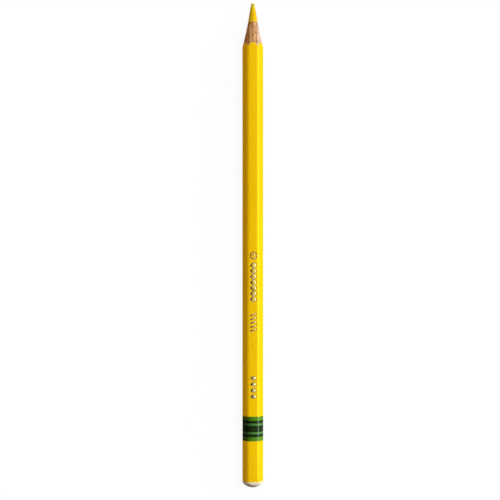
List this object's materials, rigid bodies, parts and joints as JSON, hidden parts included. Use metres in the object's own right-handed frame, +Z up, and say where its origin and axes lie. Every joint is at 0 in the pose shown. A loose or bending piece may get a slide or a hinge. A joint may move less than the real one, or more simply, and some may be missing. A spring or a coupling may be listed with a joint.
{
  "type": "colored pencil",
  "caption": "Hexagonal yellow colored pencil, sharpened, with a white dipped end, green and black painted rings and plain foil ornaments on one flat.",
  "frame": {"origin": "on the surface that the pencil lies on, under the middle of its length and width", "axes": "+X along the barrel towards the sharpened tip, +Z up out of the stamped flat, Y across the barrel"},
  "size_m": [0.175, 0.0076, 0.0069],
  "materials": {
    "pigment_core": "waxy, matte, finely scraped at the point",
    "casing_wood": "bare cut wood, fine streaks along the grain",
    "yellow_lacquer": "smooth glossy lacquer",
    "cap_paint": "smooth dipped paint",
    "green_paint": "smooth glossy paint",
    "black_paint": "smooth glossy paint",
    "foil": "thin pale gold stamping foil, slightly broken"
  },
  "bodies": {
    "root": {"core": "pigment_core", "casing_lower": "casing_wood", "casing_upper": "casing_wood", "lacquer": "yellow_lacquer", "end_cap": "cap_paint", "green_ring_1": "green_paint", "black_ring_1": "black_paint", "green_ring_2": "green_paint", "black_ring_2": "black_paint", "green_ring_3": "green_paint", "black_ring_3": "black_paint", "green_ring_4": "green_paint", "foil_rosette": "foil", "foil_lozenges": "foil", "foil_bars": "foil", "foil_diamonds": "foil"}
  },
  "joints": []
}
